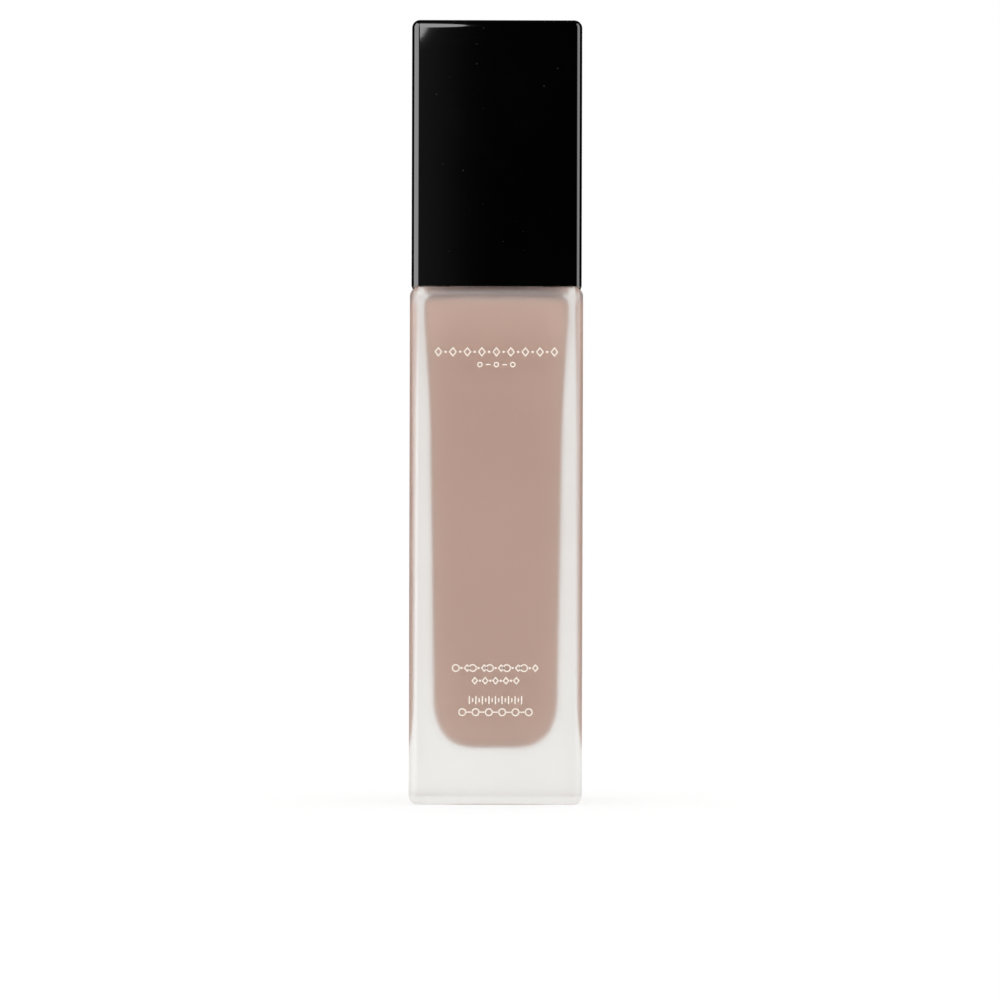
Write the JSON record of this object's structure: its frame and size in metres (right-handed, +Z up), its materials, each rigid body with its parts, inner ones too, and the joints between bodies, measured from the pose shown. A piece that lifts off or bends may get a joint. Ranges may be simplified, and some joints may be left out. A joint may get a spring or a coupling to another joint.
{
  "type": "foundation bottle",
  "caption": "Square foundation bottle of thick frosted glass filled with beige liquid make-up, with a screw-on lotion pump under a tall black pull-off cap.",
  "frame": {"origin": "centre of the bottle's footprint, on the surface it stands on", "axes": "+Z up through the pump's and closure's common axis; -Y is the front, where the decoration and the nozzle are; +X is the front view's right"},
  "size_m": [0.0286, 0.0286, 0.13],
  "materials": {
    "frosted_glass": "acid-etched, satin",
    "foundation": "creamy liquid, soft sheen",
    "black_gloss": "high gloss",
    "black_plastic": "semi-gloss",
    "black_sleeve": "black anodised, satin",
    "natural_plastic": "natural polypropylene, milky",
    "clear_tube": "translucent polyethylene",
    "soft_seal": "soft foam and low-density polyethylene",
    "stainless_steel": "bright wire and ball",
    "label_paper": "coated label"
  },
  "bodies": {
    "bottle": {"glass_bottle": "frosted_glass", "foundation_fill": "foundation", "base_label": "label_paper"},
    "pump": {"pump_housing": "natural_plastic", "pump_turret": "black_plastic", "neck_gasket": "soft_seal", "dip_tube": "clear_tube", "ball_retainer": "natural_plastic", "return_spring": "stainless_steel"},
    "closure": {"closure_ring": "black_plastic", "closure_shell": "black_sleeve"},
    "cap": {"cap_shell": "black_gloss", "cap_liner": "black_plastic"},
    "stem": {"pump_stem": "natural_plastic", "stem_plug": "natural_plastic"},
    "actuator": {"actuator_shell": "black_plastic", "actuator_core": "natural_plastic", "nozzle_insert": "black_plastic"},
    "piston": {"piston": "soft_seal"},
    "inlet_ball": {"inlet_ball": "stainless_steel"}
  },
  "joints": [
    {"name": "pump_lift", "type": "slide", "parent": "bottle", "child": "pump", "axis": [0, 0, 1], "range_m": [0, 0.00476]},
    {"name": "closure_turn", "type": "hinge", "parent": "pump", "child": "closure", "pos_m": [0, 0, 0.095], "axis": [0, 0, 1], "range_deg": [0, 540]},
    {"name": "cap_lift", "type": "slide", "parent": "pump", "child": "cap", "axis": [0, 0, 1], "range_m": [0, 0.045]},
    {"name": "pump_press", "type": "slide", "parent": "pump", "child": "stem", "axis": [0, 0, -1], "range_m": [0, 0.004], "stiffness_N_per_m": 650, "springref_m": -0.003, "deforming": ["return_spring"]},
    {"name": "nozzle_swivel", "type": "hinge", "parent": "stem", "child": "actuator", "pos_m": [0, 0, 0.118], "axis": [0, 0, 1], "continuous": true},
    {"name": "piston_slip", "type": "slide", "parent": "stem", "child": "piston", "axis": [0, 0, 1], "range_m": [0, 0.001]},
    {"name": "inlet_ball_lift", "type": "slide", "parent": "pump", "child": "inlet_ball", "axis": [0, 0, 1], "range_m": [0, 0.0008]}
  ],
  "couplings": [
    {"joint": "closure_turn", "follows": "pump_lift", "rad_per_m": 1979}
  ]
}
